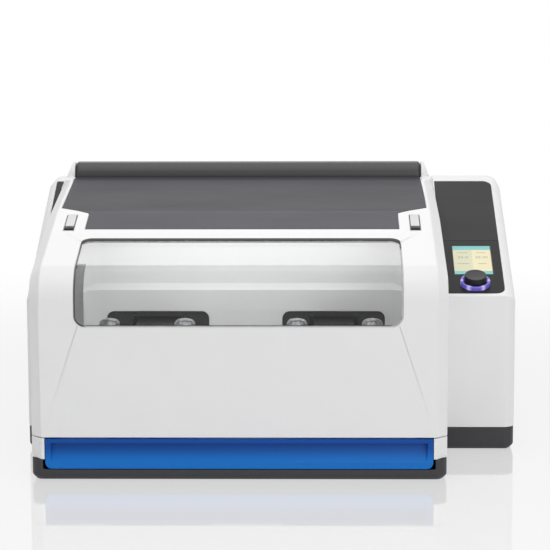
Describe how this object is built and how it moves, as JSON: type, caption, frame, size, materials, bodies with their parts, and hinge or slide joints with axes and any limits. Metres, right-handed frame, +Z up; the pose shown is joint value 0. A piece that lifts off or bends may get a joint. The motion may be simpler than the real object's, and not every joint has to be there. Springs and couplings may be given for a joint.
{
  "type": "mixer mill",
  "caption": "Bench mixer mill with a hinged hood and bent clear window, swinging jar arms, sloped control wing, display, knob and a pull-out drawer.",
  "frame": {"origin": "centre of the machine's footprint, on the table", "axes": "+Z up, -Y towards the user at the hood and the drawer, +X towards the control wing"},
  "size_m": [0.69, 0.585, 0.375],
  "materials": {
    "white_plastic": "fine-textured satin white plastic",
    "blue_plastic": "satin blue plastic",
    "pan_plastic": "fine-textured dark grey plastic",
    "panel_grey": "satin dark grey plastic",
    "panel_dark": "smooth near-black plastic",
    "bar_dark": "satin black plastic",
    "clear_window": "clear polycarbonate",
    "display": "lit display behind glass",
    "ring_violet": "translucent lit ring",
    "knob_black": "black soft-touch plastic",
    "chamber_steel": "pale powder-coated sheet steel",
    "steel": "zinc-plated steel",
    "bright_steel": "ground steel",
    "cast_black": "black painted casting",
    "cast_grey": "grey painted casting",
    "latch_grey": "satin turned steel",
    "aluminium": "machined aluminium",
    "rubber": "black rubber",
    "slider_grey": "light grey plastic",
    "board_green": "circuit board",
    "inner_plastic": "black plastic",
    "brass": "plain brass"
  },
  "bodies": {
    "machine": {"rubber_feet": "rubber", "base_pan": "pan_plastic", "chassis_frame": "white_plastic", "drawer_runners": "steel", "side_plates": "steel", "chamber_liner": "chamber_steel", "liner_seal": "rubber", "mechanism_cover": "steel", "rear_housing": "white_plastic", "right_housing": "white_plastic", "left_housing": "white_plastic", "control_panel": "panel_dark", "wing_top_panels": "panel_dark", "display_glass": "display", "display_module": "inner_plastic", "light_ring": "ring_violet", "encoder": "inner_plastic", "control_board": "board_green", "machine_bed": "cast_grey", "bridge_posts": "steel", "bridge_plate": "aluminium", "arm_shafts": "bright_steel", "arm_bearings": "bright_steel", "arm_gaiters": "rubber", "drive_bearings": "bright_steel", "drive_belt": "rubber", "drive_motor": "aluminium", "power_supply": "steel", "fan_housing": "inner_plastic", "mains_inlet": "inner_plastic", "inlet_pins": "brass", "hinge_bar": "bar_dark", "hinge_barrels": "steel", "hood_lock": "steel", "cover_screws": "steel"},
    "hood": {"hood_frame": "white_plastic", "hood_window": "clear_window", "window_seal": "rubber", "hood_top_panel": "panel_grey", "hood_hooks": "steel"},
    "slider_left": {"release_slider_left": "slider_grey"},
    "slider_right": {"release_slider_right": "slider_grey"},
    "bolt": {"lock_bolt": "bright_steel"},
    "drawer": {"drawer_front": "blue_plastic", "drawer_tray": "inner_plastic"},
    "push_shaft": {"encoder_shaft": "bright_steel"},
    "knob": {"control_knob": "knob_black"},
    "arm_left": {"swing_arm_left": "cast_black"},
    "arm_right": {"swing_arm_right": "cast_black"},
    "rod_left": {"con_rod_left": "steel"},
    "rod_right": {"con_rod_right": "steel"},
    "latch_left_outer": {"jar_latch_left_outer": "latch_grey"},
    "latch_left_inner": {"jar_latch_left_inner": "latch_grey"},
    "latch_right_inner": {"jar_latch_right_inner": "latch_grey"},
    "latch_right_outer": {"jar_latch_right_outer": "latch_grey"},
    "drive": {"eccentric_shaft": "bright_steel", "flywheel_pulley": "cast_grey"},
    "motor_rotor": {"motor_pulley": "steel"},
    "fan": {"fan_rotor": "inner_plastic"},
    "rocker": {"power_rocker": "knob_black"}
  },
  "joints": [
    {"name": "hood_hinge", "type": "hinge", "parent": "machine", "child": "hood", "pos_m": [-0.0395, 0.1935, 0.3545], "axis": [-1, 0, 0], "range_deg": [0, 65]},
    {"name": "slider_left_push", "type": "slide", "parent": "hood", "child": "slider_left", "axis": [0, -0.9813, -0.1923], "range_m": [0, 0.008], "stiffness_N_per_m": 200, "springref_m": -0.003},
    {"name": "slider_right_push", "type": "slide", "parent": "hood", "child": "slider_right", "axis": [0, -0.9813, -0.1923], "range_m": [0, 0.008], "stiffness_N_per_m": 200, "springref_m": -0.003},
    {"name": "bolt_slide", "type": "slide", "parent": "machine", "child": "bolt", "axis": [0, -1, 0], "range_m": [0, 0.01], "stiffness_N_per_m": 200, "springref_m": -0.003},
    {"name": "drawer_slide", "type": "slide", "parent": "machine", "child": "drawer", "axis": [0, -1, 0], "range_m": [0, 0.2]},
    {"name": "knob_press", "type": "slide", "parent": "machine", "child": "push_shaft", "axis": [0, 0.342, -0.9397], "range_m": [0, 0.001], "stiffness_N_per_m": 900, "springref_m": -0.0005},
    {"name": "knob_turn", "type": "hinge", "parent": "push_shaft", "child": "knob", "pos_m": [0.2895, -0.08793, 0.23549], "axis": [0, -0.342, 0.9397], "continuous": true},
    {"name": "arm_left_swing", "type": "hinge", "parent": "machine", "child": "arm_left", "pos_m": [-0.169, 0.1075, 0], "axis": [0, 0, 1], "range_deg": [-3, 3]},
    {"name": "arm_right_swing", "type": "hinge", "parent": "machine", "child": "arm_right", "pos_m": [0.09, 0.1075, 0], "axis": [0, 0, 1], "range_deg": [-3, 3]},
    {"name": "rod_left_pivot", "type": "hinge", "parent": "arm_left", "child": "rod_left", "pos_m": [-0.169, 0.1625, 0], "axis": [0, 0, 1], "range_deg": [-3, 3]},
    {"name": "rod_right_pivot", "type": "hinge", "parent": "arm_right", "child": "rod_right", "pos_m": [0.09, 0.1625, 0], "axis": [0, 0, 1], "range_deg": [-3, 3]},
    {"name": "drive_spin", "type": "hinge", "parent": "machine", "child": "drive", "pos_m": [-0.0395, 0.1625, 0], "axis": [0, 0, 1], "continuous": true},
    {"name": "motor_spin", "type": "hinge", "parent": "machine", "child": "motor_rotor", "pos_m": [0.1305, 0.2225, 0], "axis": [0, 0, 1], "continuous": true},
    {"name": "fan_spin", "type": "hinge", "parent": "machine", "child": "fan", "pos_m": [-0.0995, 0.2775, 0.128], "axis": [0, -1, 0], "continuous": true},
    {"name": "rocker_tilt", "type": "hinge", "parent": "machine", "child": "rocker", "pos_m": [0.1655, 0.2855, 0.088], "axis": [-1, 0, 0], "range_deg": [0, 12]},
    {"name": "latch_left_inner_turn", "type": "hinge", "parent": "arm_left", "child": "latch_left_inner", "pos_m": [-0.117, -0.1825, 0], "axis": [0, 0, 1], "range_deg": [-90, 0]},
    {"name": "latch_left_outer_turn", "type": "hinge", "parent": "arm_left", "child": "latch_left_outer", "pos_m": [-0.221, -0.1825, 0], "axis": [0, 0, 1], "range_deg": [0, 90]},
    {"name": "latch_right_inner_turn", "type": "hinge", "parent": "arm_right", "child": "latch_right_inner", "pos_m": [0.038, -0.1825, 0], "axis": [0, 0, 1], "range_deg": [0, 90]},
    {"name": "latch_right_outer_turn", "type": "hinge", "parent": "arm_right", "child": "latch_right_outer", "pos_m": [0.142, -0.1825, 0], "axis": [0, 0, 1], "range_deg": [-90, 0]}
  ],
  "couplings": [
    {"joint": "arm_right_swing", "follows": "arm_left_swing", "ratio": -1},
    {"joint": "rod_left_pivot", "follows": "arm_left_swing", "ratio": -1},
    {"joint": "rod_right_pivot", "follows": "arm_left_swing", "ratio": 1},
    {"joint": "motor_spin", "follows": "drive_spin", "ratio": 3}
  ]
}
